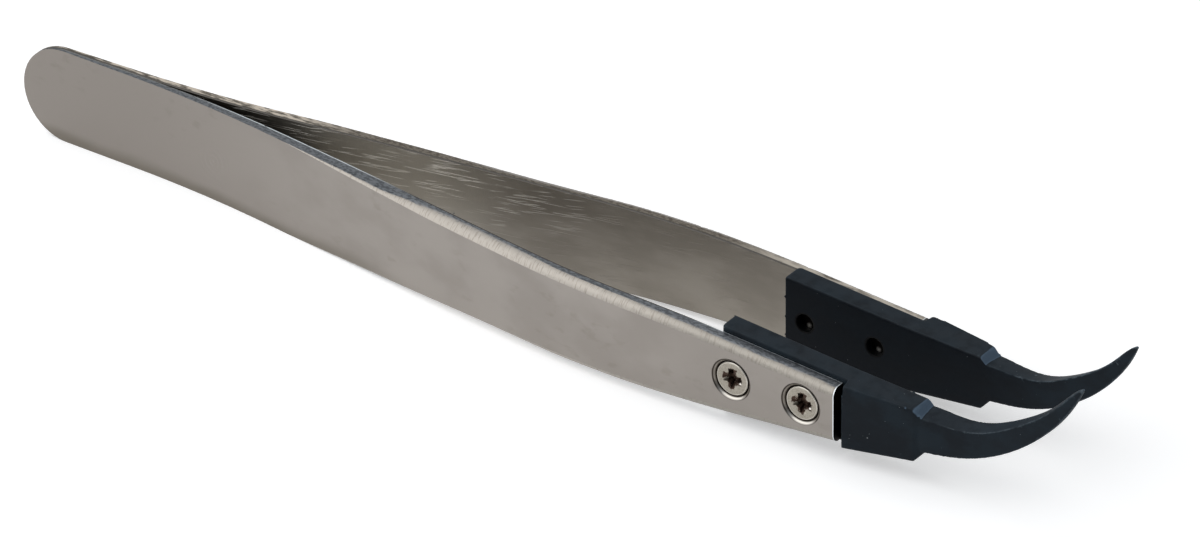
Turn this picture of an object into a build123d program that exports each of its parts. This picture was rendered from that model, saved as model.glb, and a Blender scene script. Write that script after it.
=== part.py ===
from build123d import *
import math
import os

# Tweezers with two steel arms and two replaceable plastic tips that curve upward.
# X runs from the heel (0) to the points, Y across the gap, Z up. Every size is in millimetres.
# Each piece is made for the back side (+Y) and mirrored for the front side.

# Whole object
LENGTH = 130.0

# Tips: curved point, an arc along its underside, that tapers in height and width
SWEEP_RADIUS = 19.0
SWEEP_ANGLE = 67.8
NECK_BOTTOM = 1.68
NECK_HEIGHT = 3.93
NECK_WIDTH = 2.60
POINT_HEIGHT = 0.22
POINT_WIDTH = 0.20
HEIGHT_ROOT = 0.62
WIDTH_ROOT = 0.83
NECK_FALL_ANGLE = 4.0
POINT_FALL_ANGLE = 15.0
BOTTOM_RISE_ANGLE = 2.7
CROWN = 0.035
SECTION_COUNT = 7

# Tips: pad and body
PAD_LENGTH = 14.2
PAD_THICKNESS = 2.45
PAD_PROUD = 0.54
PAD_CORNER_RADIUS = 0.5
INNER_FACE_ANGLE = 0.51
SLOT_WIDTH = 0.6
BODY_LENGTH = 7.76
BODY_INSET = 0.35
LONG_EDGE_RADIUS = 0.25
STEP_WIDTH = 2.78
STEP_TOP = 3.08
STEP_BOTTOM = 2.80
STEP_RUN = 1.2
STEP_BACKSET = 0.35
STEP_SINK = 0.06

# Arms, seen from above. Setbacks are measured back from the arm's end or from the second bend.
PIVOT_X = LENGTH - SWEEP_RADIUS * math.sin(math.radians(SWEEP_ANGLE))
ARM_LENGTH = PIVOT_X - STEP_BACKSET - BODY_LENGTH - SLOT_WIDTH
FIRST_BEND_X = 23.4
SECOND_BEND_X = ARM_LENGTH - 30.6
TAPER_SETBACK = 19.1
HALF_SPREAD = 6.75
FIRST_BEND_RADIUS = 150.0
SECOND_BEND_RADIUS = 122.0
HEEL_THICKNESS = 0.30
ARM_THICKNESS = 1.70
OUTER_BLEND_RADIUS = 150.0

# Arms, seen from the side
ARM_WIDTH = 10.55
WAIST_X = 43.5
SHOULDER_SETBACK = 18.8
SHOULDER_WIDTH = 9.16
END_WIDTH = 6.12
WAIST_RADIUS = 900.0
SHOULDER_RADIUS = 250.0
EDGE_BREAK = 0.08

# Finger round on the outer edges, deepest at the grip: depth into the thickness, drop down the face
GRIP_START_SETBACK = 37.1
GRIP_SPREAD_SETBACK = 29.1
GRIP_REAR_SETBACK = 16.1
GRIP_FRONT_SETBACK = 10.1
GRIP_END_SETBACK = 3.1
GRIP_DEPTH = 1.25
GRIP_SPREAD_DROP = 0.42
GRIP_DROP = 0.66
FRONT_DEPTH = 0.90
END_DEPTH = 0.70
END_DROP = 0.86
ROUND_STATION = 5.0
ROUND_SHARE = 0.8
ROUND_OVERRUN = 0.9

# Screws
SCREW_PITCH = 8.12
SCREW_END_MARGIN = 3.8
SCREW_RISE = 0.15
SHANK_RADIUS = 0.95
SCREW_LENGTH = 3.0
HEAD_RADIUS = 1.80
HEAD_RIM = 0.16
HEAD_SINK = 0.20
HEAD_EDGE = 0.06
ARM_HOLE_CLEARANCE = 0.10
PAD_HOLE_CLEARANCE = 0.02
HEAD_CLEARANCE = 0.04
RECESS_DEPTH = 0.75
RECESS_SPAN = 2.2
RECESS_FLOOR_SPAN = 1.05
RECESS_WING = 0.64
RECESS_FLOOR_WING = 0.48
RECESS_CORE_RADIUS = 0.64
RECESS_FLOOR_RADIUS = 0.35
RECESS_TURN_ANGLE = -9.0

# How far a cutter runs past a face, and how far an edge or a face may lean from the axis that it is sorted by
CUT_PAST = 1.0
LEAN_ANGLE = 25.0


def line_height(x, corners):
    """Height at x of a line through the given corners."""
    for (x0, y0), (x1, y1) in zip(corners, corners[1:]):
        if x <= x1:
            break
    return y0 + (y1 - y0) * (x - x0) / (x1 - x0)


def bent_height(x, corners, radii):
    """Height at x of the same line with its inner corners rounded. The turns are small."""
    height = line_height(x, corners)
    for (x0, y0), (x1, y1), (x2, y2), radius in zip(corners, corners[1:], corners[2:], radii):
        turn = (y2 - y1) / (x2 - x1) - (y1 - y0) / (x1 - x0)
        reach = radius * abs(turn) / 2
        if abs(x - x1) < reach:
            height += math.copysign((reach - abs(x - x1)) ** 2 / (2 * radius), turn)
    return height


def inner_corners():
    """Corners of an arm's inner face, seen from above."""
    return [(0, 0), (FIRST_BEND_X, 0), (SECOND_BEND_X, HALF_SPREAD), (ARM_LENGTH, HALF_SPREAD)]


def outer_corners():
    """Corners of an arm's outer face, seen from above. The arm is ground thinner towards the heel."""
    full = SECOND_BEND_X - TAPER_SETBACK
    thickness = [(0, HEEL_THICKNESS), (full, ARM_THICKNESS), (ARM_LENGTH, ARM_THICKNESS)]
    places = [0, FIRST_BEND_X, full, SECOND_BEND_X, ARM_LENGTH]
    return [(x, line_height(x, inner_corners()) + line_height(x, thickness)) for x in places]


def edge_corners():
    """Corners of an arm's upper edge, seen from the side, ahead of the round heel."""
    return [
        (ARM_WIDTH / 2, ARM_WIDTH / 2),
        (WAIST_X, ARM_WIDTH / 2),
        (ARM_LENGTH - SHOULDER_SETBACK, SHOULDER_WIDTH / 2),
        (ARM_LENGTH, END_WIDTH / 2),
    ]


def outer_radii():
    """Bend radii of an arm's outer face."""
    return [FIRST_BEND_RADIUS, OUTER_BLEND_RADIUS, SECOND_BEND_RADIUS]


def edge_radii():
    """Radii at the corners of an arm's upper edge."""
    return [WAIST_RADIUS, SHOULDER_RADIUS]


def arm_strip():
    """The bent strip, seen from above, before its edges are cut to shape."""
    inner = FilletPolyline(*inner_corners(), radius=[FIRST_BEND_RADIUS, SECOND_BEND_RADIUS])
    outer = FilletPolyline(*outer_corners(), radius=outer_radii())
    heel = Line(inner @ 0, outer @ 0)
    end = Line(inner @ 1, outer @ 1)
    return extrude(make_face([inner, end, outer, heel]), amount=ARM_WIDTH, both=True)


def arm_outline():
    """The arm's outline, seen from the side, with its half-round heel."""
    upper = FilletPolyline(*edge_corners(), radius=edge_radii())
    lower = mirror(upper, about=Plane.XZ)
    half = ARM_WIDTH / 2
    heel = ThreePointArc((half, half), (0, 0), (half, -half))
    end = Line((ARM_LENGTH, END_WIDTH / 2), (ARM_LENGTH, -END_WIDTH / 2))
    outline = make_face([upper, end, lower, heel])
    deep = HALF_SPREAD + 2 * ARM_THICKNESS
    return extrude(Plane.XZ * outline, amount=deep, both=True)


def round_section(x, depth, drop):
    """Section of the cutter that rounds an outer edge. Its arc meets the edge face and the outer face."""
    out = bent_height(x, outer_corners(), outer_radii())
    corner = Vector(out, bent_height(x, edge_corners(), edge_radii()))
    on_edge = corner + Vector(-depth, 0)
    on_face = corner + Vector(0, -drop)
    along = (on_face - on_edge).normalized()
    outward = Vector(-along.Y, along.X)
    tangent_angle = min(math.atan2(drop, depth), math.atan2(depth, drop))
    half_angle = ROUND_SHARE * tangent_angle
    radius = (on_face - on_edge).length / (2 * math.sin(half_angle))
    centre = (on_edge + on_face) * 0.5 - outward * (radius * math.cos(half_angle))
    wide = half_angle + ROUND_OVERRUN * (tangent_angle - half_angle)
    rise = outward * (radius * math.cos(wide))
    reach = along * (radius * math.sin(wide))
    first = centre + rise - reach
    last = centre + rise + reach
    far = corner + Vector(CUT_PAST, CUT_PAST)
    arc = ThreePointArc(first, centre + outward * radius, last)
    outside = Polyline(last, (far.X, last.Y), far, (first.X, far.Y), first)
    return Plane.YZ.offset(x) * make_face([arc, outside])


def finger_round():
    """Cutter for the round along the upper outer edge, which runs out smoothly towards the heel."""
    start = SECOND_BEND_X - GRIP_START_SETBACK
    depths = [
        (start, EDGE_BREAK),
        (SECOND_BEND_X - GRIP_REAR_SETBACK, GRIP_DEPTH),
        (SECOND_BEND_X - GRIP_FRONT_SETBACK, GRIP_DEPTH),
        (SECOND_BEND_X - GRIP_END_SETBACK, FRONT_DEPTH),
        (ARM_LENGTH, END_DEPTH),
    ]
    drops = [
        (start, EDGE_BREAK),
        (SECOND_BEND_X - GRIP_SPREAD_SETBACK, GRIP_SPREAD_DROP),
        (SECOND_BEND_X - GRIP_REAR_SETBACK, GRIP_DROP),
        (ARM_LENGTH, END_DROP),
    ]
    steps = math.ceil((ARM_LENGTH - start) / ROUND_STATION)
    pitch = (ARM_LENGTH - start) / steps
    stations = [start + pitch * i for i in range(steps + 2)]
    sections = [round_section(x, line_height(x, depths), line_height(x, drops)) for x in stations]
    runout = Pos(0, EDGE_BREAK, EDGE_BREAK) * round_section(start - pitch, EDGE_BREAK, EDGE_BREAK)
    return loft([runout] + sections)


def screw_places():
    """X of the rear and the front screw."""
    front = ARM_LENGTH - SCREW_END_MARGIN
    return [front - SCREW_PITCH, front]


def turned(profile, x):
    """Turns a profile about a screw's axis. The profile holds pairs of radius and Y."""
    face = make_face(Polyline(*[(x + r, y) for r, y in profile], close=True))
    face = Pos(0, 0, SCREW_RISE) * face
    return revolve(face, axis=Axis((x, 0, SCREW_RISE), (0, 1, 0)))


def countersunk_hole(x):
    """Cutter for a countersunk hole in an arm."""
    face_y = HALF_SPREAD + ARM_THICKNESS
    hole = SHANK_RADIUS + ARM_HOLE_CLEARANCE
    mouth = HEAD_RADIUS + HEAD_SINK + HEAD_RIM + math.sqrt(2) * HEAD_CLEARANCE
    return turned(
        [
            (0, face_y + CUT_PAST),
            (mouth + CUT_PAST, face_y + CUT_PAST),
            (hole, face_y - (mouth - hole)),
            (hole, HALF_SPREAD - CUT_PAST),
            (0, HALF_SPREAD - CUT_PAST),
        ],
        x,
    )


def faces_gap(face):
    """Whether a face of an arm looks towards the gap."""
    return face.normal_at().Y < -math.cos(math.radians(LEAN_ANGLE))


def runs_upright(edge):
    """Whether an edge runs along Z."""
    return abs(edge.tangent_at(0.5).Z) > math.cos(math.radians(LEAN_ANGLE))


def runs_lengthwise(edge):
    """Whether an edge runs along X."""
    return abs(edge.tangent_at(0.5).X) > math.cos(math.radians(LEAN_ANGLE))


def make_arm():
    """One steel arm: bent strip, side outline, finger rounds, broken inner edges and screw holes."""
    arm = (arm_strip() & arm_outline()).solid()
    inner_faces = [face for face in arm.faces() if faces_gap(face)]
    edges = [edge for face in inner_faces for edge in face.edges() if not runs_upright(edge)]
    arm = chamfer(edges, EDGE_BREAK)
    cutter = finger_round()
    arm = arm - cutter - mirror(cutter, about=Plane.XY)
    for x in screw_places():
        arm = arm - countersunk_hole(x)
    return arm.solid()


def cross(span, wing):
    """A cross-shaped face, with its wings along the axes."""
    return Rectangle(span, wing) + Rectangle(wing, span)


def cross_recess():
    """Cutter for the cross recess, below a head whose top is at Z = 0."""
    floor = Pos(0, 0, -RECESS_DEPTH) * cross(RECESS_FLOOR_SPAN, RECESS_FLOOR_WING)
    wings = loft([floor, cross(RECESS_SPAN, RECESS_WING)], ruled=True)
    core = Pos(0, 0, -RECESS_DEPTH / 2) * Cone(RECESS_FLOOR_RADIUS, RECESS_CORE_RADIUS, RECESS_DEPTH)
    return Rot(0, 0, RECESS_TURN_ANGLE) * (wings + core)


def make_screw(x):
    """One countersunk screw, seated in the arm and ending inside the pad."""
    top = HALF_SPREAD + ARM_THICKNESS - HEAD_SINK
    rim_end = top - HEAD_RIM
    body = turned(
        [
            (0, top),
            (HEAD_RADIUS - HEAD_EDGE, top),
            (HEAD_RADIUS, top - HEAD_EDGE),
            (HEAD_RADIUS, rim_end),
            (SHANK_RADIUS, rim_end - (HEAD_RADIUS - SHANK_RADIUS)),
            (SHANK_RADIUS, top - SCREW_LENGTH),
            (0, top - SCREW_LENGTH),
        ],
        x,
    )
    seat = Plane(origin=(x, top, SCREW_RISE), x_dir=(1, 0, 0), z_dir=(0, 1, 0))
    return body - seat * cross_recess()


def inner_y(x):
    """Y of a tip's flat inner face."""
    rear = ARM_LENGTH - PAD_LENGTH
    return HALF_SPREAD - PAD_THICKNESS + math.tan(math.radians(INNER_FACE_ANGLE)) * (x - rear)


def tip_plan():
    """Pad and body of a tip, seen from above."""
    rear = ARM_LENGTH - PAD_LENGTH
    shoulder = ARM_LENGTH + SLOT_WIDTH
    step = PIVOT_X - STEP_BACKSET
    front = step + STEP_RUN
    outer = HALF_SPREAD + ARM_THICKNESS - BODY_INSET
    outer_line = [(shoulder, outer), (step, inner_y(step) + STEP_WIDTH)]
    plan = make_face(
        Polyline(
            (rear, inner_y(rear)),
            (front, inner_y(front)),
            (front, line_height(front, outer_line)),
            (shoulder, outer),
            (shoulder, HALF_SPREAD),
            (rear, HALF_SPREAD),
            close=True,
        )
    )
    rear_corners = plan.vertices().sort_by(Axis.X)[:2]
    return fillet(rear_corners.sort_by(Axis.Y)[-1], PAD_CORNER_RADIUS)


def tip_side():
    """Pad and body of a tip, seen from the side, before the step is cut."""
    rear = ARM_LENGTH - PAD_LENGTH
    step = PIVOT_X - STEP_BACKSET
    front = step + STEP_RUN
    pad_rear = line_height(rear, edge_corners()) + PAD_PROUD
    pad_front = END_WIDTH / 2 + PAD_PROUD
    return make_face(
        Polyline(
            (rear, pad_rear),
            (ARM_LENGTH, pad_front),
            (front, line_height(front, [(ARM_LENGTH, pad_front), (step, STEP_TOP)])),
            (front, line_height(front, [(ARM_LENGTH, -pad_front), (step, -STEP_BOTTOM)])),
            (ARM_LENGTH, -pad_front),
            (rear, -pad_rear),
            close=True,
        )
    )


def step_planes():
    """The step's slanting faces, which run from the body down into the curved point on three sides."""
    step = PIVOT_X - STEP_BACKSET
    front = step + STEP_RUN
    angle = math.asin((front - PIVOT_X) / SWEEP_RADIUS)
    _, low_out, top_out, _ = point_corners(math.degrees(angle) / SWEEP_ANGLE)
    axis_height = SWEEP_RADIUS - NECK_BOTTOM
    top = axis_height + top_out.Y * math.cos(angle) - STEP_SINK
    bottom = axis_height + low_out.Y * math.cos(angle) + STEP_SINK
    side = top_out.X - STEP_SINK
    return [
        Plane(origin=(front, 0, top), z_dir=(STEP_TOP - top, 0, STEP_RUN)),
        Plane(origin=(front, 0, bottom), z_dir=(STEP_BOTTOM + bottom, 0, -STEP_RUN)),
        Plane(origin=(front, side, 0), z_dir=(inner_y(step) + STEP_WIDTH - side, STEP_RUN, 0)),
    ]


def tip_body():
    """Pad and body of a tip, with its long edges rounded and its step cut."""
    deep = HALF_SPREAD + 2 * ARM_THICKNESS
    plan = extrude(tip_plan(), amount=ARM_WIDTH, both=True)
    side = extrude(Plane.XZ * tip_side(), amount=deep, both=True)
    body = (plan & side).solid()
    body = fillet(body.edges().filter_by(runs_lengthwise), LONG_EDGE_RADIUS)
    for plane in step_planes():
        body = split(body, bisect_by=plane, keep=Keep.BOTTOM)
    return body


def point_corners(share):
    """Corners of the curved point's section at a share of its sweep: Y, and height above the sweep axis."""
    height = POINT_HEIGHT + (NECK_HEIGHT - POINT_HEIGHT) * (1 - share) ** HEIGHT_ROOT
    width = POINT_WIDTH + (NECK_WIDTH - POINT_WIDTH) * (1 - share) ** WIDTH_ROOT
    fall_angle = NECK_FALL_ANGLE + (POINT_FALL_ANGLE - NECK_FALL_ANGLE) * share
    inner = inner_y(PIVOT_X + SWEEP_RADIUS * math.sin(math.radians(SWEEP_ANGLE * share)))
    rise = width * math.tan(math.radians(BOTTOM_RISE_ANGLE))
    fall = width * math.tan(math.radians(fall_angle))
    low_in = Vector(inner, -SWEEP_RADIUS)
    top_in = low_in + Vector(0, height)
    return low_in, low_in + Vector(width, rise), top_in + Vector(width, -fall), top_in


def point_section(share):
    """Section of the curved point at a share of its sweep, in a plane through the sweep axis."""
    angle = math.radians(SWEEP_ANGLE * share)
    plane = Plane(
        origin=(PIVOT_X, 0, SWEEP_RADIUS - NECK_BOTTOM),
        x_dir=(0, 1, 0),
        z_dir=(math.cos(angle), 0, math.sin(angle)),
    )
    low_in, low_out, top_out, top_in = point_corners(share)
    edges = [Line(top_in, low_in)]
    for start, finish in ((low_in, low_out), (low_out, top_out), (top_out, top_in)):
        along = (finish - start).normalized()
        outward = Vector(along.Y, -along.X)
        bulge = CROWN * (finish - start).length / NECK_WIDTH
        edges.append(ThreePointArc(start, (start + finish) * 0.5 + outward * bulge, finish))
    return plane * make_face(edges)


def curved_point():
    """The curved point, through sections that lie closer together towards its end."""
    turns = [math.pi / 2 * i / (SECTION_COUNT - 1) for i in range(SECTION_COUNT)]
    return loft([point_section(math.sin(turn)) for turn in turns])


def make_tip():
    """One plastic tip: pad, body, step and curved point, with the two screw holes."""
    tip = tip_body() + curved_point()
    hole = SHANK_RADIUS + PAD_HOLE_CLEARANCE
    past = HALF_SPREAD + CUT_PAST
    for x in screw_places():
        tip = tip - turned([(0, 0), (hole, 0), (hole, past), (0, past)], x)
    return tip.solid()


def write(name, shape):
    """Writes a piece with its origin below the middle of the object, on the lower edges."""
    placed = Pos(-LENGTH / 2, 0, ARM_WIDTH / 2) * shape
    placed.label = name
    export_step(placed, "parts/" + name + ".step")


def main():
    os.makedirs("parts", exist_ok=True)
    rear, front = screw_places()
    pieces = {
        "arm": make_arm(),
        "tip": make_tip(),
        "screw_rear": make_screw(rear),
        "screw_tip": make_screw(front),
    }
    for name, piece in pieces.items():
        write("back_" + name, piece)
        write("front_" + name, mirror(piece, about=Plane.XZ))


main()
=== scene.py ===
"""Steel tweezers with curved plastic points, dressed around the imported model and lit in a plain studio."""

import logging
import math
import random
from bisect import bisect_left
from collections.abc import Sequence
from dataclasses import dataclass
from dataclasses import field
from enum import Enum
from typing import Self

import bmesh
import bpy
from mathutils import Matrix
from mathutils import Vector
from mathutils import noise
from mathutils.bvhtree import BVHTree
from mathutils.geometry import barycentric_transform

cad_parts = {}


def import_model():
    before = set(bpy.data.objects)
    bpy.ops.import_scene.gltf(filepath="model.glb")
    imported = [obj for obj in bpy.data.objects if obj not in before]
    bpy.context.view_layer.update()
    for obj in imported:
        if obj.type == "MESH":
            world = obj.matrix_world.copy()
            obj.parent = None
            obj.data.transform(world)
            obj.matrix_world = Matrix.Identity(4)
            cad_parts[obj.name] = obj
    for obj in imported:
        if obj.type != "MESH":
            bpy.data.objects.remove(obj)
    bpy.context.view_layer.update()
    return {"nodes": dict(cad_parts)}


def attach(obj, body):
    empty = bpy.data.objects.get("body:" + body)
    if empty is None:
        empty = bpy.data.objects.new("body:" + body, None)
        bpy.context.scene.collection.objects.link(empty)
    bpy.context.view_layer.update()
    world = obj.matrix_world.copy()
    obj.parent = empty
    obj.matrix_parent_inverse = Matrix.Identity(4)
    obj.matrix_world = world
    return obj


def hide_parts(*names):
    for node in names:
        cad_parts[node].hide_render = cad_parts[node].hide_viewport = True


LOG = logging.getLogger("tweezers")
MM = 0.001
INNER_EDGE = "from_inner_edge"
Tree = bpy.types.NodeTree
Socket = bpy.types.NodeSocket
Piece = bpy.types.Object
Place = tuple[float, float, float]

# The screws' axes run straight across the arms, at these places in millimetres.
SCREW_X = (26.78, 34.9)
SCREW_Z = 5.425


class Side(Enum):
    """The two halves of the tweezers: the node's first word, and the sign of Y on that side."""

    FRONT = ("front", -1.0)
    BACK = ("back", 1.0)

    @property
    def word(self) -> str:
        """First word of the node names on this side."""
        return self.value[0]

    @property
    def sign(self) -> float:
        """Sign of Y on this side."""
        return self.value[1]


def linear(hex_colour: str) -> tuple[float, float, float, float]:
    """Turns an sRGB colour into the linear one that shaders take.

    Args:
        hex_colour: six hex digits after a hash sign.

    Returns:
        Red, green, blue and an alpha of 1.
    """
    digits = hex_colour.lstrip("#")
    values = [int(digits[i:i + 2], 16) / 255 for i in (0, 2, 4)]
    red, green, blue = [v / 12.92 if v <= 0.04045 else ((v + 0.055) / 1.055) ** 2.4 for v in values]
    return red, green, blue, 1.0


def between(points: Sequence[tuple[float, float]], x: float) -> float:
    """Value at x on the line through some points, which is level beyond its ends.

    Args:
        points: pairs of x and value, sorted by x.
        x: where the value is wanted.

    Returns:
        The value.
    """
    after = min(max(bisect_left(points, (x,)), 1), len(points) - 1)
    (x0, y0), (x1, y1) = points[after - 1], points[after]
    share = min(max((x - x0) / max(x1 - x0, 1e-9), 0.0), 1.0)
    return y0 + (y1 - y0) * share


def add_node(tree: Tree, kind: str, inputs: dict | None = None, **settings: object) -> bpy.types.Node:
    """Adds a node with its settings, values and links.

    Args:
        tree: the node tree that gets the node.
        kind: Blender's name of the node's type.
        inputs: a value, an amount or a source socket for each input, by its name or index.
        settings: the node's own properties, by name.

    Returns:
        The new node.
    """
    node = tree.nodes.new(kind)
    for name, value in settings.items():
        setattr(node, name, value)
    for key, value in (inputs or {}).items():
        source = value.socket if isinstance(value, Amount) else value
        if isinstance(source, Socket):
            tree.links.new(source, node.inputs[key])
        else:
            node.inputs[key].default_value = source
    return node


@dataclass(frozen=True)
class Amount:
    """A number that varies over a surface, mostly a share from 0 to 1, with the signs of arithmetic."""

    socket: Socket

    @classmethod
    def reckon(cls, operation: str, *parts: Self | float) -> Self:
        """Reckons with numbers, of which at least one varies over the surface.

        Args:
            operation: Blender's name of the operation.
            parts: the numbers, in order.

        Returns:
            The result.
        """
        tree = next(part.socket.id_data for part in parts if isinstance(part, cls))
        return cls(add_node(tree, "ShaderNodeMath", dict(enumerate(parts)), operation=operation).outputs[0])

    def __add__(self, other: Self | float) -> Self:
        """The sum."""
        return self.reckon("ADD", self, other)

    def __sub__(self, other: Self | float) -> Self:
        """The difference."""
        return self.reckon("SUBTRACT", self, other)

    def __rsub__(self, whole: float) -> Self:
        """What is left of a plain number."""
        return self.reckon("SUBTRACT", whole, self)

    def __mul__(self, other: Self | float) -> Self:
        """The product."""
        return self.reckon("MULTIPLY", self, other)

    def __abs__(self) -> Self:
        """The number without its sign."""
        return self.reckon("ABSOLUTE", self)

    def rise(self, low: float, high: float) -> Self:
        """Share that grows smoothly as this number does.

        Args:
            low: the number at which the share is 0.
            high: the number at which it is 1. Where this is below low, the share falls instead.

        Returns:
            The share.
        """
        limits = {0: self, 1: low, 2: high}
        smooth = add_node(self.socket.id_data, "ShaderNodeMapRange", limits, interpolation_type="SMOOTHSTEP")
        return Amount(smooth.outputs[0])


@dataclass
class Surface:
    """A material in the making, and the steps that its tones and its relief are laid in."""

    name: str
    material: bpy.types.Material = field(init=False)
    tree: Tree = field(init=False)
    place: Socket = field(init=False)
    normal: dict[str, Amount] = field(init=False)
    at: dict[str, Amount] = field(init=False)

    def __post_init__(self) -> None:
        """Starts the material with the place and the direction of each point of the surface."""
        self.material = bpy.data.materials.new(self.name)
        self.material.use_nodes = True
        self.tree = self.material.node_tree
        self.tree.nodes.clear()
        self.place = add_node(self.tree, "ShaderNodeTexCoord").outputs["Object"]
        facing = add_node(self.tree, "ShaderNodeNewGeometry").outputs["Normal"]
        for name, source in (("normal", facing), ("at", self.place)):
            parts = add_node(self.tree, "ShaderNodeSeparateXYZ", {0: source})
            setattr(self, name, {axis: Amount(parts.outputs[axis]) for axis in "XYZ"})

    def grain(self, size_mm: float, stretch: Place = (1.0, 1.0, 1.0), turn: Place = (0.0, 0.0, 0.0),
              detail: float = 2.0) -> Amount:
        """Noise of a real size.

        Args:
            size_mm: the size of a grain.
            stretch: how many times longer the grain is along each axis.
            turn: the grain's turn about each axis, in degrees.
            detail: how many finer layers the noise has.

        Returns:
            A number near 0.5, from 0 to 1.
        """
        place = self.place
        for change in ({"Rotation": [math.radians(a) for a in turn]}, {"Scale": [1 / s for s in stretch]}):
            place = add_node(self.tree, "ShaderNodeMapping", {"Vector": place, **change}).outputs[0]
        sizes = {"Vector": place, "Scale": 1 / (size_mm * MM), "Detail": detail}
        return Amount(add_node(self.tree, "ShaderNodeTexNoise", sizes).outputs[0])

    def along(self, start_mm: float, end_mm: float) -> Amount:
        """Share that grows smoothly from 0 to 1 between two places along the tweezers."""
        return self.at["X"].rise(start_mm * MM, end_mm * MM)

    def near(self, centre_mm: Place, radius_mm: float) -> Amount:
        """A soft spot.

        Args:
            centre_mm: the place where its share is 1.
            radius_mm: the distance at which that has fallen to 0.

        Returns:
            The share.
        """
        centre = [c * MM for c in centre_mm]
        away = add_node(self.tree, "ShaderNodeVectorMath", {0: self.place, 1: centre}, operation="DISTANCE")
        return Amount(away.outputs["Value"]).rise(radius_mm * MM, 0.0)

    def around(self, x_mm: float, z_mm: float) -> Amount:
        """Distance from an axis that runs straight across the arms.

        Args:
            x_mm: the axis's place along the arms.
            z_mm: its height.

        Returns:
            The distance, in metres.
        """
        across = self.at["X"] - x_mm * MM
        above = self.at["Z"] - z_mm * MM
        return Amount.reckon("SQRT", across * across + above * above)

    def from_screws(self) -> Amount:
        """Distance from the nearer screw's axis, in metres."""
        return Amount.reckon("MINIMUM", *[self.around(x, SCREW_Z) for x in SCREW_X])

    def outward(self) -> Amount:
        """How squarely the surface looks away from the other arm, from -1 to 1."""
        return Amount.reckon("SIGN", self.at["Y"]) * self.normal["Y"]

    def paint(self, share: Amount, under: Socket | str, over: Socket | str) -> Socket:
        """Lays one tone over another.

        Args:
            share: how much of the upper tone shows.
            under: the lower tone, as a socket or an sRGB hex colour.
            over: the upper tone, likewise.

        Returns:
            The tone.
        """
        lower, upper = [linear(tone) if isinstance(tone, str) else tone for tone in (under, over)]
        tones = {0: share, 6: lower, 7: upper}
        return add_node(self.tree, "ShaderNodeMix", tones, data_type="RGBA").outputs[2]

    def emboss(self, height: Amount, depth_mm: float, share: Amount | float,
               under: Socket | None = None) -> Socket:
        """Gives the surface a relief of a real depth.

        Args:
            height: the pattern, from 0 to 1.
            depth_mm: how deep the pattern's whole range is.
            share: how much of the relief shows.
            under: the relief that this one lies on.

        Returns:
            The bent normal.
        """
        inputs = {"Height": height, "Distance": depth_mm * MM, "Strength": share}
        if under is not None:
            inputs["Normal"] = under
        return add_node(self.tree, "ShaderNodeBump", inputs).outputs[0]

    def finish(self, **inputs: object) -> bpy.types.Material:
        """Joins the shader to the output.

        Args:
            inputs: the shader's inputs, with underscores for the blanks in their names.

        Returns:
            The finished material.
        """
        named = {name.replace("_", " "): value for name, value in inputs.items()}
        shader = add_node(self.tree, "ShaderNodeBsdfPrincipled", named)
        add_node(self.tree, "ShaderNodeOutputMaterial", {"Surface": shader.outputs[0]})
        return self.material


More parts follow.
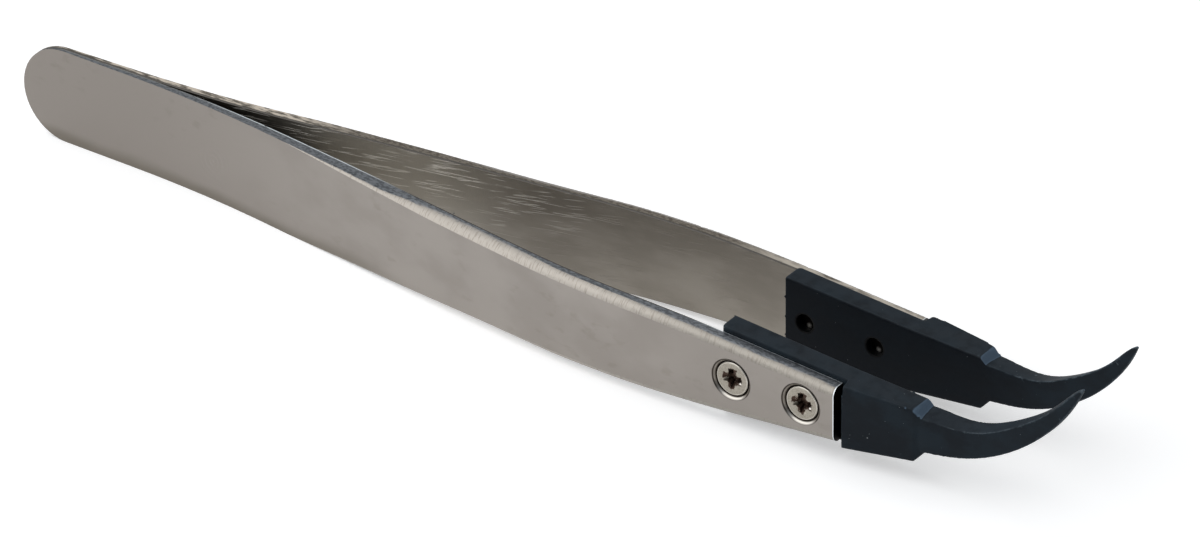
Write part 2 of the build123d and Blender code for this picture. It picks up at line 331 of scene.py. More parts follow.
@dataclass(frozen=True)
class GroundSteel:
    """Stainless sheet steel, ground fine and then used: the finish of the arms."""

    # Grinding scatters the light, so the faces look an even satin grey with soft clouds and mirror nothing
    # sharply. The brushed rounds look paler. The flat edges are speckled, colder with painted shade on the
    # front arm and paler with painted highlights on the back arm. The inner faces show long scratches, and
    # painted highlights make some edges shine nearly white, with painted shade on others.
    name: str = "ground_stainless_steel"
    face: str = "#9b958f"
    face_cloud: str = "#928c86"
    heel_face: str = "#8b857f"
    front_edge_shade: str = "#868a8f"
    front_edge_shade_speck: str = "#62666b"
    end_edge_highlight: str = "#d8cfc2"
    back_edge_lit: str = "#8f877c"
    back_edge_lit_speck: str = "#6a6258"
    heel_edge_highlight: str = "#eee2d2"
    round_pale: str = "#a9a39b"
    round_nick: str = "#8b847c"
    round_dull: str = "#9c978f"
    gap_rear: str = "#c9c4bb"
    gap_crevice_shade: str = "#5a554d"
    gap_face: str = "#979188"
    gap_cloud: str = "#8a847b"
    break_shade: str = "#55524e"
    break_highlight: str = "#f4fbff"
    scratch: str = "#f4f0e8"
    stain: str = "#6a645a"
    grime_and_shade: str = "#2a241f"
    sink_highlight: str = "#dcd7ce"
    sink_shade: str = "#8e877e"
    roughness: float = 0.36
    rubbed_roughness: float = 0.10
    end_x: float = 38.7
    head_radius: float = 1.80
    countersink_radius: float = 2.20
    whorl_centre: Place = (-40.6, -0.9, 4.4)
    whorl_radius: float = 2.8

    def build(self) -> bpy.types.Material:
        """Builds the finish. Faces, rounds and edges are told apart by the direction that they look in.

        Returns:
            The finished material.
        """
        s = Surface(self.name)
        # Lift is 0 on a face, 1 on a flat edge and between them on a round.
        lift = abs(s.normal["Z"])
        outward = s.outward()
        away = s.from_screws()
        tilted = lift.rise(0.12, 0.30)
        flat_edge = lift.rise(0.955, 0.992)
        inward = outward.rise(-0.25, -0.5)
        sink = Amount.reckon("LESS_THAN", away, (self.countersink_radius + 0.06) * MM)
        outside = Amount.reckon("MAXIMUM", 1.0 - inward - sink, 0.0)
        outer_round = tilted * (1.0 - flat_edge) * outside
        colour = self.sink_colour(s, away, self.face_colour(s))
        colour = s.paint(inward, colour, self.gap_colour(s))
        colour = s.paint(outer_round, colour, self.round_colour(s))
        colour = s.paint(flat_edge, colour, self.edge_colour(s))
        # Painted light on the inner edges and the chamfers that face the gap: highlights near the heel and
        # the screws on the front arm, shade elsewhere.
        from_inner = Amount(add_node(s.tree, "ShaderNodeAttribute", attribute_name=INNER_EDGE).outputs["Fac"])
        line = from_inner.rise(0.17 * MM, 0.07 * MM) * flat_edge
        gap_break = tilted * outward.rise(-0.12, -0.3)
        colour = s.paint(Amount.reckon("MAXIMUM", gap_break, line), colour, self.break_colour(s))
        # A painted highlight along the arm's end edge.
        end = s.along(self.end_x - 0.14, self.end_x - 0.06) * outside
        colour = s.paint(end * 0.8, colour, self.break_highlight)
        # Painted shade on faces that look forward, such as the arm's end in the slot before the tip.
        colour = s.paint(s.normal["X"].rise(0.6, 0.9), colour, self.grime_and_shade)
        rough = outer_round * self.rubbed_roughness + self.roughness + inward * self.rubbed_roughness
        relief = self.relief(s, outer_round, flat_edge, inward)
        return s.finish(Base_Color=colour, Metallic=1.0, Roughness=rough, Normal=relief)

    def sink_colour(self, s: Surface, away: Amount, under: Socket) -> Socket:
        """Colour of the two countersinks: dirty and in painted shade at both borders, in painted shade above
        and with a painted highlight below.

        Args:
            s: the surface.
            away: distance from the nearer screw's axis.
            under: the colour around them.

        Returns:
            The colour.
        """
        # Painted shade on the upper cone and a painted highlight on its lower part.
        cone = away.rise((self.countersink_radius + 0.02) * MM, (self.countersink_radius - 0.04) * MM)
        below = s.at["Z"].rise((SCREW_Z - 1.1) * MM, (SCREW_Z - 1.7) * MM)
        colour = s.paint(cone * 0.8, under, s.paint(below, self.sink_shade, self.sink_highlight))
        # Dirt and painted shade at the outer border and in the gap around the head.
        border = abs(away - self.countersink_radius * MM).rise(0.11 * MM, 0.03 * MM) * (0.9 - below * 0.5)
        seat = away.rise((self.head_radius + 0.27) * MM, (self.head_radius + 0.14) * MM)
        return s.paint(Amount.reckon("MAXIMUM", border, seat), colour, self.grime_and_shade)

    def face_colour(self, s: Surface) -> Socket:
        """Colour of the outer faces: clouds of slightly different tone, a duller heel and a stained border.

        Args:
            s: the surface.

        Returns:
            The colour.
        """
        clouds = s.grain(6.0, (1.6, 1.0, 1.0), detail=4.0).rise(0.40, 0.66)
        colour = s.paint(clouds, self.face, self.face_cloud)
        colour = s.paint(s.along(-10, -56), colour, self.heel_face)
        colour = s.paint(s.along(12, 24) * 0.6, colour, self.face_cloud)
        smudges = s.grain(1.1, (1.8, 1.0, 1.0), detail=5.0).rise(0.54, 0.70)
        patches = s.grain(8.0).rise(0.48, 0.62)
        colour = s.paint(smudges * patches * 0.18, colour, self.stain)
        wavy_height = s.at["Z"] + s.grain(2.5, (3.0, 1.0, 1.0)) * (1.2 * MM)
        lower_border = wavy_height.rise(2.3 * MM, 0.7 * MM) * s.along(-6, -28)
        return s.paint(lower_border * 0.65, colour, self.stain)

    def edge_colour(self, s: Surface) -> Socket:
        """Colour of the flat edges: grey and speckled, with painted shade on the front arm and painted
        highlights on the back arm, paler in patches at its heel and towards its end, with a dirty seam.

        Args:
            s: the surface.

        Returns:
            The colour.
        """
        specks = s.grain(0.22, (2.0, 1.0, 1.0), detail=4.0).rise(0.42, 0.60)
        # Painted shade: the front arm's flat edges are coloured darker and colder.
        front = s.paint(specks, self.front_edge_shade, self.front_edge_shade_speck)
        # Painted highlights: the back arm's flat edges are paler, nearly white in patches at the heel and
        # pale towards the end.
        worn_and_highlit = s.along(-22, -34) * s.grain(0.35, (4.0, 1.0, 1.0), detail=4.0).rise(0.40, 0.58)
        back = s.paint(worn_and_highlit, s.paint(specks, self.back_edge_lit, self.back_edge_lit_speck), self.heel_edge_highlight)
        pale = s.along(14, 24) * s.grain(0.5, (4.0, 1.0, 1.0)).rise(0.25, 0.6)
        back = s.paint(pale, back, self.end_edge_highlight)
        colour = s.paint(Amount.reckon("GREATER_THAN", s.at["Y"], 0.0), front, back)
        seam = abs(s.at["Y"]).rise(0.20 * MM, 0.06 * MM)
        return s.paint(seam * 0.9, colour, self.grime_and_shade)

    def break_colour(self, s: Surface) -> Socket:
        """Colour of the broken inner edges: a painted highlight near the heel and the screws on the front
        arm, painted shade between them and on the back arm.

        Args:
            s: the surface.

        Returns:
            The colour.
        """
        wear_and_highlight_zone = Amount.reckon("MAXIMUM", s.along(-13, -24), s.along(20, 26))
        on_front = Amount.reckon("LESS_THAN", s.at["Y"], 0.0)
        worn_and_highlit = s.grain(0.35, (3.0, 1.0, 1.0), detail=3.0).rise(0.26, 0.42)
        clear_of_heel = 1.0 - s.along(-36, -46) * 0.75
        return s.paint(wear_and_highlight_zone * on_front * (worn_and_highlit * clear_of_heel), self.break_shade, self.break_highlight)

    def gap_colour(self, s: Surface) -> Socket:
        """Colour of the inner faces, brighter near the heel, where long scratches are densest, with painted
        shade in the crevice at the heel itself.

        Args:
            s: the surface.

        Returns:
            The colour.
        """
        clouds = s.grain(3.0, (3.0, 1.0, 1.0), detail=5.0).rise(0.36, 0.64)
        colour = s.paint(clouds, self.gap_face, self.gap_cloud)
        colour = s.paint(s.along(-4, -22), colour, self.gap_rear)
        # Painted shade in the crevice at the heel.
        colour = s.paint(s.along(-27, -38), colour, self.gap_crevice_shade)
        upper = s.at["Z"].rise(4.0 * MM, 8.5 * MM)
        worn_and_highlit = s.along(6, -16) * (upper * 0.85 + 0.15)
        return s.paint(self.scratches(s) * worn_and_highlit, colour, self.scratch)

    def scratches(self, s: Surface) -> Amount:
        """Two sets of lines, 3 to 5 mm long, that cross at a small angle.

        Args:
            s: the surface.

        Returns:
            1 in a scratch and 0 beside it.
        """
        # Real scratches are 0.02 to 0.05 mm wide. These are drawn 0.1 mm wide, so that they show.
        first = s.grain(0.11, (50.0, 50.0, 1.0), (0.0, 2.0, 0.0), 0.0).rise(0.67, 0.74)
        second = s.grain(0.10, (35.0, 35.0, 1.0), (0.0, 8.0, 0.0), 0.0).rise(0.70, 0.77)
        broken = s.grain(2.4, (2.0, 2.0, 1.0)).rise(0.36, 0.52)
        return Amount.reckon("MAXIMUM", first, second) * broken

    def round_colour(self, s: Surface) -> Socket:
        """Colour of the finger rounds: pale, duller towards the screws, with darker marks across them.

        Args:
            s: the surface.

        Returns:
            The colour.
        """
        # Real brush marks are about 0.05 mm wide. These are drawn 0.14 mm wide, so that they show.
        marks = s.grain(0.14, (1.0, 7.0, 7.0), detail=3.0).rise(0.50, 0.68)
        pale = s.paint(s.along(10, 26), self.round_pale, self.round_dull)
        return s.paint(marks * 0.7, pale, self.round_nick)

    def relief(self, s: Surface, outer_round: Amount, flat_edge: Amount, inward: Amount) -> Socket:
        """Grinding grain everywhere, brush marks across the rounds and scratches on the inner faces.

        Args:
            s: the surface.
            outer_round: share of the finger rounds.
            flat_edge: share of the flat edges.
            inward: share of the inner faces.

        Returns:
            The bent normal.
        """
        # Real grinding lines are about 0.02 mm apart, and brush marks 0.05 mm. Here they are 0.10 and 0.17 mm
        # apart, as coarse as they need to be to show.
        ground = s.emboss(s.grain(0.10, (12.0, 12.0, 1.0)), 0.006, 0.35)
        brushed = s.emboss(s.grain(0.17, (1.0, 8.0, 8.0), detail=4.0), 0.05, outer_round * 0.8, ground)
        speckled = s.emboss(s.grain(0.14, (1.5, 1.0, 1.0), detail=3.0), 0.03, flat_edge * 0.6, brushed)
        scored = s.emboss(self.scratches(s), 0.02, inward * 0.6, speckled)
        return self.whorl(s, scored)

    def whorl(self, s: Surface, under: Socket) -> Socket:
        """Faint curved buffing lines in one spot of the front arm's outer face.

        Args:
            s: the surface.
            under: the relief that they lie on.

        Returns:
            The bent normal.
        """
        # Real buffing lines are 0.1 to 0.2 mm apart. These are drawn 0.6 mm apart, so that they show. The
        # texture's rings repeat every 0.314 of its unit, which is 1.89 mm here.
        unit = 1.89 * MM
        centre = [c * MM for c in self.whorl_centre]
        place = add_node(s.tree, "ShaderNodeVectorMath", {0: s.place, 1: centre}, operation="SUBTRACT")
        rings = add_node(
            s.tree,
            "ShaderNodeTexWave",
            {"Vector": place.outputs[0], "Scale": 1 / unit, "Distortion": 2.0, "Detail": 2.0},
            wave_type="RINGS",
            rings_direction="Y",
        )
        spot = s.near(self.whorl_centre, self.whorl_radius)
        return s.emboss(Amount(rings.outputs["Fac"]), 0.05, spot * 0.8, under)


@dataclass(frozen=True)
class TurnedSteel:
    """Stainless steel, turned and tumbled: the finish of the screws."""

    # Tumbling leaves a dull, slightly grainy grey. The rim has a painted highlight, and dirt and painted
    # shade make the recess nearly black, apart from small painted glints. The shanks are painted black in the
    # shade of the pads, with painted glints on their ends.
    name: str = "turned_stainless_steel"
    head: str = "#a39d92"
    speck: str = "#8f897e"
    rim_highlight: str = "#d9d4ca"
    dirt_and_shade: str = "#402f27"
    bare_and_glint: str = "#fffaf2"
    shade: str = "#14110f"
    roughness: float = 0.38
    dirt_roughness: float = 0.15
    cross_turn: float = -9.0
    cross_reach: float = 1.14
    wing_half: float = 0.36
    core_radius: float = 0.76
    shank_y: float = 5.25

    def build(self) -> bpy.types.Material:
        """Builds the finish.

        Returns:
            The finished material.
        """
        s = Surface(self.name)
        specks = s.grain(0.10, detail=4.0).rise(0.45, 0.62)
        colour = s.paint(specks, self.head, self.speck)
        # A painted highlight on the head's rim.
        rim_highlight = s.from_screws().rise(1.62 * MM, 1.76 * MM)
        colour = s.paint(rim_highlight * 0.8, colour, self.rim_highlight)
        recess = self.recess(s)
        # Dirt and painted shade make the recess nearly black, apart from bare patches.
        bare_and_glint = s.grain(0.16).rise(0.60, 0.68) * 0.8
        colour = s.paint((0.96 - bare_and_glint) * recess, colour, self.dirt_and_shade)
        # Painted glints beside the recesses' right wings.
        for x in SCREW_X:
            glint = s.around(x + 0.97, SCREW_Z - 0.27).rise(0.16 * MM, 0.07 * MM)
            colour = s.paint(glint, colour, self.bare_and_glint)
        colour = s.paint(abs(s.at["Y"]).rise(7.3 * MM, 7.0 * MM), colour, self.shade)
        # Painted glints on the shanks' ends, seen through the tips' holes.
        for x in SCREW_X:
            glint = s.near((x - 0.05, self.shank_y, SCREW_Z - 0.72), 0.40)
            colour = s.paint(glint, colour, self.bare_and_glint)
        rough = recess * self.dirt_roughness + self.roughness
        # The tumbled skin's real grain is about 0.03 mm. It is drawn at 0.09 mm, so that it shows.
        relief = s.emboss(s.grain(0.09, detail=4.0), 0.012, 0.6)
        return s.finish(Base_Color=colour, Metallic=1.0, Roughness=rough, Normal=relief)

    def recess(self, s: Surface) -> Amount:
        """The dirty area in painted shade: the cross recess and its ragged border, left uneven by wear.

        Args:
            s: the surface.

        Returns:
            1 in the dirt and 0 outside it.
        """
        cosine, sine = math.cos(math.radians(self.cross_turn)), math.sin(math.radians(self.cross_turn))
        shapes = []
        for x in SCREW_X:
            across = s.at["X"] - x * MM
            above = s.at["Z"] - SCREW_Z * MM
            first = abs(across * cosine + above * sine)
            second = abs(above * cosine - across * sine)
            shapes.append(s.around(x, SCREW_Z) - self.core_radius * MM)
            for long, short in ((first, second), (second, first)):
                end = long - self.cross_reach * MM
                flank = short - self.wing_half * MM
                shapes.append(Amount.reckon("MAXIMUM", end, flank))
        border = shapes.pop(0)
        for shape in shapes:
            border = Amount.reckon("MINIMUM", border, shape)
        ragged = (s.grain(0.28, detail=3.0) - 0.5) * (0.5 * MM)
        return (border + ragged).rise(0.05 * MM, -0.03 * MM)


@dataclass(frozen=True)
class MouldedPlastic:
    """Carbon-filled nylon, moulded: the finish of the tips."""

    # The mould's fine skin scatters light evenly, so the plastic looks matt blue-black with hardly any
    # highlight. Painted shade darkens its inner faces. Painted light makes the upper faces greyer, wear and
    # painted highlights make the edges greyer, and pale dust clings to it. The facet on the step has a
    # painted bluish highlight.
    name: str = "moulded_carbon_nylon"
    base: str = "#13191f"
    cloud: str = "#1b242b"
    inner_shade: str = "#0a0f15"
    paler_grey: str = "#2d353c"
    facet_highlight: str = "#526374"
    wear_and_highlight: str = "#66727a"
    dust: str = "#a4a9ab"
    bore_shade: str = "#040506"
    roughness: float = 0.48
    cloud_roughness: float = 0.08
    ior: float = 1.5
    specular: float = 0.1
    dust_speck: Place = (42.2, -7.8, 3.8)

    def build(self) -> bpy.types.Material:
        """Builds the finish.

        Returns:
            The finished material.
        """
        s = Surface(self.name)
        clouds = s.grain(2.2, (1.6, 1.0, 1.0), detail=5.0).rise(0.38, 0.66)
        colour = s.paint(clouds, self.base, self.cloud)
        # Painted shade on the tips' inner faces, fading out towards the points.
        inner_shade = s.outward().rise(-0.6, -0.9) * s.along(60, 44)
        colour = s.paint(inner_shade * 0.75, colour, self.inner_shade)
        # Painted light: faces that look up are greyer, in patches.
        top_light = s.normal["Z"].rise(0.55, 0.95) * s.grain(1.4, detail=4.0).rise(0.2, 0.6)
        colour = s.paint(top_light * 0.5, colour, self.paler_grey)
        # A painted bluish highlight on the facet of the step.
        step = s.normal["X"].rise(0.22, 0.45) * s.normal["Z"].rise(0.2, 0.5)
        colour = s.paint(step, colour, self.facet_highlight)
        colour = s.paint(s.along(44, 62) * 0.15, colour, self.paler_grey)
        # Wear and painted highlights make the edges greyer, most towards the points.
        sharpness = Amount(add_node(s.tree, "ShaderNodeNewGeometry").outputs["Pointiness"])
        edges = sharpness.rise(0.51, 0.56) * s.grain(0.8, detail=4.0).rise(0.30, 0.6)
        wear_and_highlight_zone = s.along(49, 53) * 0.45 + 0.15
        colour = s.paint(edges * wear_and_highlight_zone, colour, self.wear_and_highlight)
        # Painted shade in the screws' holes.
        colour = s.paint(s.from_screws().rise(1.25 * MM, 1.05 * MM), colour, self.bore_shade)
        dust = s.grain(0.22, detail=1.0).rise(0.80, 0.84)
        dust = Amount.reckon("MAXIMUM", dust, s.near(self.dust_speck, 0.12))
        colour = s.paint(dust * 0.6, colour, self.dust)
        rough = clouds * self.cloud_roughness + self.roughness
        # The mould skin's real grain is about 0.05 mm. It is drawn at 0.14 mm, so that it shows.
        relief = s.emboss(s.grain(0.14, detail=3.0), 0.012, 0.5)
        return s.finish(
            Base_Color=colour, Roughness=rough, Normal=relief, IOR=self.ior, Specular_IOR_Level=self.specular
        )


@dataclass
class Camera:
    """The camera, at the photograph's viewing angle."""

    eye: Place = (597.4, -846.7, 622.6)
    azimuth: float = math.radians(34.955)
    elevation: float = math.radians(30.805)
    roll: float = math.radians(-0.486)
    lens: float = 367.95
    sensor: float = 36.0

    def build(self) -> None:
        """Makes the camera and the scene's active one."""
        data = bpy.data.cameras.new("camera")
        data.lens = self.lens
        data.sensor_width = self.sensor
        data.clip_start = 0.05
        data.clip_end = 20.0
        camera = bpy.data.objects.new("camera", data)
        bpy.context.scene.collection.objects.link(camera)
        level = math.cos(self.elevation)
        cosine, sine = math.cos(self.azimuth), math.sin(self.azimuth)
        back = Vector((sine * level, -cosine * level, math.sin(self.elevation)))
        right = Vector((cosine, sine, 0.0))
        up = back.cross(right)
        across = right * math.cos(self.roll) + up * math.sin(self.roll)
        upright = up * math.cos(self.roll) - right * math.sin(self.roll)
        turn = Matrix((across, upright, back)).transposed()
        camera.matrix_world = Matrix.Translation(Vector(self.eye) * MM) @ turn.to_4x4()
        bpy.context.scene.camera = camera


@dataclass(frozen=True)
class Lamp:
    """One soft square lamp that looks at the object: its direction, and its sizes in metres and watts."""

    name: str
    side: Place
    distance: float
    size: float
    power: float
    tint: str

    def build(self) -> None:
        """Makes the lamp."""
        data = bpy.data.lights.new(self.name, "AREA")
        data.shape = "SQUARE"
        data.size = self.size
        data.energy = self.power
        data.color = linear(self.tint)[:3]
        lamp = bpy.data.objects.new(self.name, data)
        bpy.context.scene.collection.objects.link(lamp)
        direction = Vector(self.side).normalized()
        lamp.location = direction * self.distance
        lamp.rotation_mode = "QUATERNION"
        lamp.rotation_quaternion = direction.to_track_quat("Z", "Y")


@dataclass
class Studio:
    """A white floor, a dim grey surround, one very large soft lamp and a weak one behind the object."""

    floor_half: float = 3.0
    floor_colour: str = "#e8e8e8"
    floor_glow: float = 0.42
    surround: str = "#a3a9b1"
    surround_strength: float = 0.45
    key: Lamp = Lamp("key", side=(-0.50, -0.42, 0.76), distance=1.1, size=1.9, power=18.0, tint="#ffffff")
    back: Lamp = Lamp("back", side=(-0.10, 0.75, 0.55), distance=1.3, size=1.8, power=4.0, tint="#fffdf8")

    def build(self) -> None:
        """Builds the floor, the surround and the two lamps."""
        self.build_floor()
        self.build_surround()
        self.key.build()
        self.back.build()

    def build_floor(self) -> None:
        """Makes the floor. The camera, metal and glass see it white, and it keeps the object's shadow."""
        half = self.floor_half
        mesh = bpy.data.meshes.new("floor")
        corners = [(-half, -half, 0.0), (half, -half, 0.0), (half, half, 0.0), (-half, half, 0.0)]
        mesh.from_pydata(corners, [], [(0, 1, 2, 3)])
        floor = bpy.data.objects.new("floor", mesh)
        bpy.context.scene.collection.objects.link(floor)
        material = bpy.data.materials.new("white_floor")
        material.use_nodes = True
        tree = material.node_tree
        tree.nodes.clear()
        path = add_node(tree, "ShaderNodeLightPath").outputs
        seen = Amount(path["Is Camera Ray"])
        for ray in ("Is Glossy Ray", "Is Transmission Ray"):
            seen = Amount.reckon("MAXIMUM", seen, Amount(path[ray]))
        paint = add_node(tree, "ShaderNodeBsdfDiffuse", {"Color": linear(self.floor_colour)}).outputs[0]
        light = add_node(tree, "ShaderNodeEmission", {"Strength": seen * self.floor_glow}).outputs[0]
        both = add_node(tree, "ShaderNodeAddShader", {0: paint, 1: light}).outputs[0]
        add_node(tree, "ShaderNodeOutputMaterial", {"Surface": both})
        mesh.materials.append(material)

    def build_surround(self) -> None:
        """Makes the world: white where the camera sees it, and an even dim grey as light."""
        world = bpy.data.worlds.new("studio")
        bpy.context.scene.world = world
        world.use_nodes = True
        tree = world.node_tree
        tree.nodes.clear()
        seen = add_node(tree, "ShaderNodeLightPath").outputs["Is Camera Ray"]
        soft = {"Color": linear(self.surround), "Strength": self.surround_strength}
        dim = add_node(tree, "ShaderNodeBackground", soft).outputs[0]
        white = add_node(tree, "ShaderNodeBackground", {"Color": (1.0, 1.0, 1.0, 1.0)}).outputs[0]
        both = add_node(tree, "ShaderNodeMixShader", {0: seen, 1: dim, 2: white}).outputs[0]
        add_node(tree, "ShaderNodeOutputWorld", {"Surface": both})


@dataclass(frozen=True)
class Burr:
    """A small ragged spike: its place and size in millimetres, its direction and the seed of its shape."""

    place: Place
    size: float
    along: Place
    seed: int


@dataclass
class Workpiece:
    """A mesh in the making: it starts as a node's form and ends as a piece that stands for the node."""

    node: Piece
    name: str
    work: bmesh.types.BMesh = field(init=False)
    merge_within: float = 0.0005
    burr_width: float = 0.55
    burr_thickness: float = 0.40
    burr_taper: float = 0.45
    burr_ragged: float = 0.22

    def __post_init__(self) -> None:
        """Copies the node's form."""
        self.work = bmesh.new()
        self.work.from_mesh(self.node.data)
        bmesh.ops.remove_doubles(self.work, verts=self.work.verts, dist=self.merge_within * MM)

    def add_burr(self, burr: Burr) -> None:
        """Adds a burr, half sunk in the surface.

        Args:
            burr: what it is like.
        """
        rng = random.Random(burr.seed)
        made = bmesh.ops.create_icosphere(self.work, subdivisions=2, radius=1.0)["verts"]
        turn = Vector(burr.along).normalized().to_track_quat("Z", "Y").to_matrix()
        for vert in made:
            x, y, z = vert.co
            taper = 1.0 - self.burr_taper * max(z, 0.0)
            ragged = 1.0 + rng.uniform(-self.burr_ragged, self.burr_ragged)
            shaped = Vector((x * self.burr_width * taper, y * self.burr_thickness * taper, z)) * ragged
            vert.co = Vector(burr.place) * MM + turn @ (shaped * burr.size * MM)

    def make_mesh(self) -> bpy.types.Mesh:
        """Ends the shaping and gives the form as a smooth mesh."""
        mesh = bpy.data.meshes.new(self.name)
        self.work.to_mesh(mesh)
        self.work.free()
        mesh.shade_smooth()
        return mesh

    def stand_in(self, mesh: bpy.types.Mesh, material: bpy.types.Material) -> Piece:
        """Makes the mesh a piece that rides with the model and stands for its node.

        Args:
            mesh: the finished mesh.
            material: the piece's finish.

        Returns:
            The finished piece.
        """
        mesh.materials.clear()
        mesh.materials.append(material)
        piece = bpy.data.objects.new(self.name, mesh)
        bpy.context.scene.collection.objects.link(piece)
        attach(piece, "root")
        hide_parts(self.node.name)
        LOG.info("%s: %d faces", self.name, len(mesh.polygons))
        return piece


class SmoothForm:
    """The true direction of a node's smooth surface, looked up at any place on it."""

    # Share of the way to its face's middle at which a corner is looked up, so that the right face is found.
    inset = 0.02
    # A blend of three directions has a length near 1. Outside these limits it comes from a sliver.
    shortest, longest = 0.5, 2.0

    def __init__(self, mesh: bpy.types.Mesh) -> None:
        """Reads the node's triangles and the directions at their corners.

        Args:
            mesh: the node's mesh.
        """
        mesh.calc_loop_triangles()
        places = [vert.co.copy() for vert in mesh.vertices]
        normals = [corner.vector.copy() for corner in mesh.corner_normals]
        self.triangles = [[places[i] for i in t.vertices] for t in mesh.loop_triangles]
        self.normals = [[normals[i] for i in t.loops] for t in mesh.loop_triangles]
        self.tree = BVHTree.FromPolygons(places, [list(t.vertices) for t in mesh.loop_triangles])

    def direction(self, place: Vector, middle: Vector) -> Vector:
        """Direction of the surface at a corner of a face.

        Args:
            place: the corner.
            middle: the middle of its face, which tells on which side of an edge the face lies.

        Returns:
            A unit vector.
        """
        found, _, index, _ = self.tree.find_nearest(place.lerp(middle, self.inset))
        blended = barycentric_transform(found, *self.triangles[index], *self.normals[index])
        if not self.shortest < blended.length < self.longest:
            blended = sum(self.normals[index], Vector())
        return blended.normalized()


@dataclass
class Arm:
    """One steel spring arm, whose finger rounds carry brush marks and dents from use."""

    nodes: dict[str, Piece]
    side: Side
    slice_pitch: float = 0.15
    grip_from: float = -26.0
    grip_to: float = 38.6
    round_low: float = 0.15
    round_high: float = 0.975
    flatten_below: float = 75.0
    # Place along the arm, in millimetres, and the slope in degrees up to which the round looks flat there.
    flat_until: tuple[tuple[float, float], ...] = (
        (-26.0, 30.0),
        (-18.0, 30.0),
        (-14.5, 11.0),
        (-10.0, 0.0),
        (13.0, 0.0),
        (21.0, 11.0),
        (30.0, 17.0),
        (39.0, 17.0),
    )
    sink_reach: float = 2.4
    # The directions of faces: how far a flat edge looks up or down, an inner face in and a round out.
    edge_above: float = 0.985
    inner_below: float = -0.05
    outer_above: float = 0.15
    mark_depth: float = 0.012
    mark_width: float = 0.30
    slope_step: float = 0.04
    dent_depth: float = 0.06
    dent_width: float = 0.14
    dent_reach: float = 3.0
    dents: tuple[float, ...] = (0.7, 6.1, 11.8, 12.6, 16.6, 24.4, 31.9)
    front_burr: Burr = Burr((-8.8, -4.46, 10.44), 0.11, (0.2, 0.3, 1.0), 5)

    def build(self, steel: bpy.types.Material) -> None:
        """Builds the arm.

        Args:
            steel: the arm's finish.
        """
        node = self.nodes[f"{self.side.word}_arm"]
        part = Workpiece(node, f"{self.side.word}_arm_ground")
        self.slice_rounds(part.work)
        if self.side is Side.FRONT:
            part.add_burr(self.front_burr)
        mesh = part.make_mesh()
        self.measure_edges(mesh)
        self.mark_rounds(mesh, SmoothForm(node.data))
        part.stand_in(mesh, steel)

    def on_round(self, normal: Vector) -> bool:
        """Whether a direction is one that the finger rounds look in."""
        outward = normal.y * self.side.sign
        return self.round_low < abs(normal.z) < self.round_high and outward > self.outer_above

    def slice_rounds(self, work: bmesh.types.BMesh) -> None:
        """Cuts the finger rounds across at an even pitch, so that they can carry marks.

        Args:
            work: the arm's form.
        """
        strips = [face for face in work.faces if self.on_round(face.normal)]
        parts = {*strips}
        for face in strips:
            parts.update(face.edges)
            parts.update(face.verts)
        geometry = list(parts)
        for i in range(int((self.grip_to - self.grip_from) / self.slice_pitch) + 1):
            x = (self.grip_from + i * self.slice_pitch) * MM
            geometry = bmesh.ops.bisect_plane(
                work, geom=geometry, plane_co=(x, 0.0, 0.0), plane_no=(1.0, 0.0, 0.0), dist=0.002 * MM
            )["geom"]

    def measure_edges(self, mesh: bpy.types.Mesh) -> None:
        """Stores how far each corner of the flat edges is from the inner face, where a painted highlight
        brightens them.

        Args:
            mesh: the arm's mesh.
        """
        flat: set[int] = set()
        inner: set[int] = set()
        for face in mesh.polygons:
            if abs(face.normal.z) > self.edge_above:
                flat.update(face.vertices)
            elif face.normal.y * self.side.sign < self.inner_below:
                inner.update(face.vertices)
        border = sorted((mesh.vertices[i].co.x, mesh.vertices[i].co.y) for i in flat & inner)
        layer = mesh.attributes.new(INNER_EDGE, "FLOAT", "POINT")
        for i, vert in enumerate(mesh.vertices):
            layer.data[i].value = 1.0
            if i in flat:
                layer.data[i].value = abs(vert.co.y - between(border, vert.co.x))

    def depth(self, x: float, lift: float, upper: bool) -> float:
        """How far a mark or dent sinks the round, in millimetres.

        Args:
            x: place along the arm, in millimetres.
            lift: how much the surface looks up or down, from 0 to 1.
            upper: whether it is the upper round, which has the dents.

        Returns:
            The depth.
        """
        if not self.grip_from + 2.0 < x < self.grip_to:
            return 0.0
        # The marks fade towards the face and towards the flat edge.
        from_face = (lift - self.round_low) / 0.2
        from_edge = (1.02 - lift) / 0.1
        seed = 3.0 + 4.0 * self.side.sign + 2.0 * upper
        depth = self.mark_depth * (0.5 + noise.noise(Vector((x / self.mark_width, lift * 2.0, seed))))
        # The dents have three sizes in turn, and those of the two arms aren't quite opposite each other.
        for i, place in enumerate(self.dents):
            away = (x - place - 0.4 * self.side.sign) / (self.dent_width * (1.0 + 0.3 * (i % 3)))
            if upper and abs(away) < self.dent_reach:
                depth += self.dent_depth * (0.5 + 0.25 * (i % 3)) * math.exp(-away * away) * lift
        return depth * max(min(from_face, from_edge, 1.0), 0.0)

    def flatten(self, normal: Vector, x: float) -> Vector:
        """Lets the start of the round look as flat as the edge beside it, at the grip's rear and front.

        Args:
            normal: the surface's true direction.
            x: place along the arm, in millimetres.

        Returns:
            The direction to shade with.
        """
        angle = math.degrees(math.acos(min(abs(normal.z), 1.0)))
        if normal.y * self.side.sign < 0.0 or angle > self.flatten_below:
            return normal
        start = between(self.flat_until, x)
        turned = math.radians(max(angle - start, 0.0) * self.flatten_below / (self.flatten_below - start))
        level = Vector((normal.x, normal.y, 0.0))
        if level.length < 1e-6:
            return normal
        upright = Vector((0.0, 0.0, math.copysign(math.cos(turned), normal.z)))
        return level.normalized() * math.sin(turned) + upright

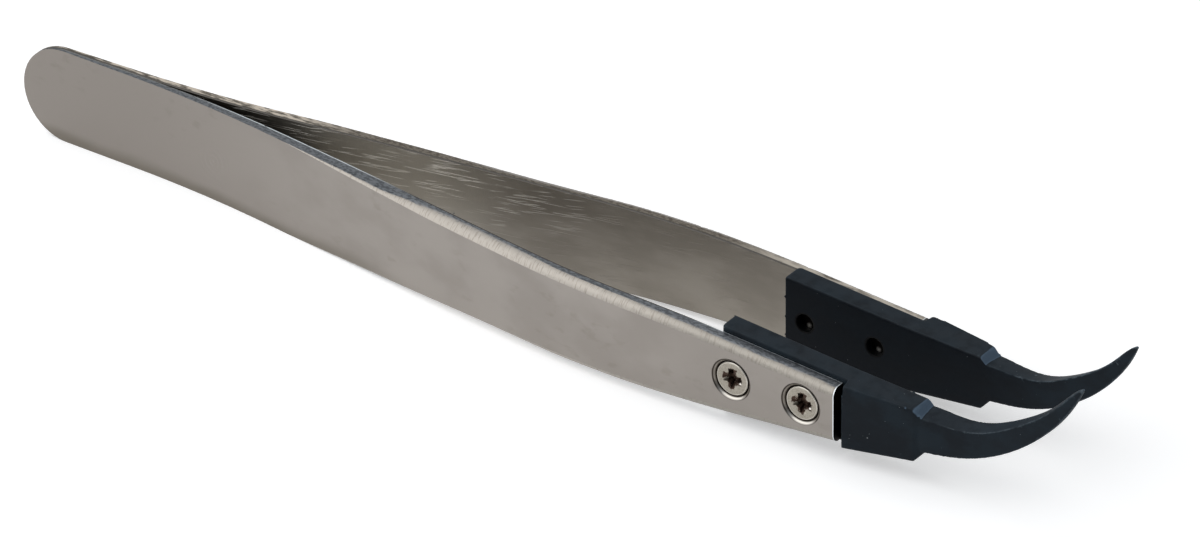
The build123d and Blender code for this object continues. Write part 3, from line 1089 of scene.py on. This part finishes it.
    def mark_rounds(self, mesh: bpy.types.Mesh, form: SmoothForm) -> None:
        """Sinks the marks and dents, and keeps the true smooth shading everywhere else.

        Args:
            mesh: the arm's mesh.
            form: the node's smooth surface.
        """
        step = self.slope_step
        directions = [Vector()] * len(mesh.loops)
        moves: dict[int, list[Vector]] = {}
        for face in mesh.polygons:
            middle = face.center
            for loop in face.loop_indices:
                index = mesh.loops[loop].vertex_index
                place = mesh.vertices[index].co
                x, z = place.x / MM, place.z / MM
                normal = form.direction(place, middle)
                sunk = any(math.hypot(x - screw, z - SCREW_Z) < self.sink_reach for screw in SCREW_X)
                if not sunk:
                    normal = self.flatten(normal, x)
                if not sunk and self.on_round(normal):
                    lift, upper = abs(normal.z), normal.z > 0.0
                    moves.setdefault(index, []).append(normal * self.depth(x, lift, upper))
                    slope = self.depth(x + step, lift, upper) - self.depth(x - step, lift, upper)
                    normal = (normal + Vector((slope / (2 * step), 0.0, 0.0))).normalized()
                directions[loop] = normal
        for index, several in moves.items():
            mesh.vertices[index].co -= sum(several, Vector()) / len(several) * MM
        mesh.normals_split_custom_set(directions)


@dataclass
class Tip:
    """One moulded tip: soft-edged pad, body and curved point, with burrs left by the mould."""

    nodes: dict[str, Piece]
    side: Side
    voxel: float = 0.092
    relax_rounds: int = 3
    relax_share: float = 0.5
    skin_depth: float = 0.004
    skin_size: float = 0.5
    # Each worn corner's place and reach in millimetres, and how often it is smoothed.
    worn_corners: tuple[tuple[Place, float, int], ...] = (
        ((39.75, 8.0, 8.65), 1.0, 40),
        ((47.07, 7.1, 8.3), 0.95, 40),
    )
    back_burrs: tuple[Burr, ...] = (
        Burr((24.48, 4.32, 7.7), 0.20, (-1.0, -0.4, 0.3), 1),
        Burr((24.48, 4.32, 5.5), 0.16, (-1.0, -0.3, -0.2), 2),
        Burr((24.50, 4.34, 3.4), 0.13, (-1.0, -0.2, 0.0), 3),
    )
    front_burrs: tuple[Burr, ...] = (
        Burr((45.4, -4.54, 8.34), 0.24, (-0.3, 0.2, 1.0), 4),
        Burr((24.5, -4.4, 9.9), 0.14, (-1.0, 0.0, 0.3), 6),
    )

    def build(self, plastic: bpy.types.Material) -> None:
        """Builds the tip.

        Args:
            plastic: the tip's finish.
        """
        node = self.nodes[f"{self.side.word}_tip"]
        part = Workpiece(node, f"{self.side.word}_tip_moulded")
        for burr in self.back_burrs if self.side is Side.BACK else self.front_burrs:
            part.add_burr(burr)
        self.soften(part)
        part.stand_in(part.make_mesh(), plastic)

    def soften(self, part: Workpiece) -> None:
        """Remeshes the form evenly and relaxes it, which rounds its edges as a mould does.

        Args:
            part: the tip in the making.
        """
        rough = bpy.data.meshes.new("rough")
        part.work.to_mesh(rough)
        helper = bpy.data.objects.new("rough", rough)
        bpy.context.scene.collection.objects.link(helper)
        remesh = helper.modifiers.new("remesh", "REMESH")
        remesh.mode = "VOXEL"
        remesh.voxel_size = self.voxel * MM
        relax = helper.modifiers.new("relax", "SMOOTH")
        relax.factor = self.relax_share
        relax.iterations = self.relax_rounds
        graph = bpy.context.evaluated_depsgraph_get()
        even = bpy.data.meshes.new_from_object(helper.evaluated_get(graph))
        bpy.data.objects.remove(helper)
        part.work.clear()
        part.work.from_mesh(even)
        for (x, y, z), reach, rounds in self.worn_corners:
            corner = Vector((x, y * self.side.sign, z)) * MM
            near = [vert for vert in part.work.verts if (vert.co - corner).length < reach * MM]
            axes = {"use_axis_x": True, "use_axis_y": True, "use_axis_z": True}
            for _ in range(rounds):
                bmesh.ops.smooth_vert(part.work, verts=near, factor=self.relax_share, **axes)
        part.work.normal_update()
        for vert in part.work.verts:
            wave = noise.noise(vert.co / (self.skin_size * MM))
            vert.co += vert.normal * (wave * self.skin_depth * MM)


@dataclass
class Screws:
    """The four countersunk screws."""

    nodes: dict[str, Piece]

    def build(self, steel: bpy.types.Material) -> None:
        """Dresses the screws.

        Args:
            steel: the screws' finish.
        """
        for name, node in self.nodes.items():
            if "_screw_" in name:
                node.data.materials.clear()
                node.data.materials.append(steel)
                LOG.info("%s: dressed", name)


def main() -> None:
    """Builds the scene."""
    logging.basicConfig(level=logging.INFO, format="%(message)s")
    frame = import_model()
    nodes = frame["nodes"]
    Camera().build()
    Studio().build()
    steel = GroundSteel().build()
    plastic = MouldedPlastic().build()
    for side in Side:
        Arm(nodes, side).build(steel)
        Tip(nodes, side).build(plastic)
    Screws(nodes).build(TurnedSteel().build())
    bpy.context.scene.view_settings.view_transform = "Standard"


if __name__ == "__main__":
    main()
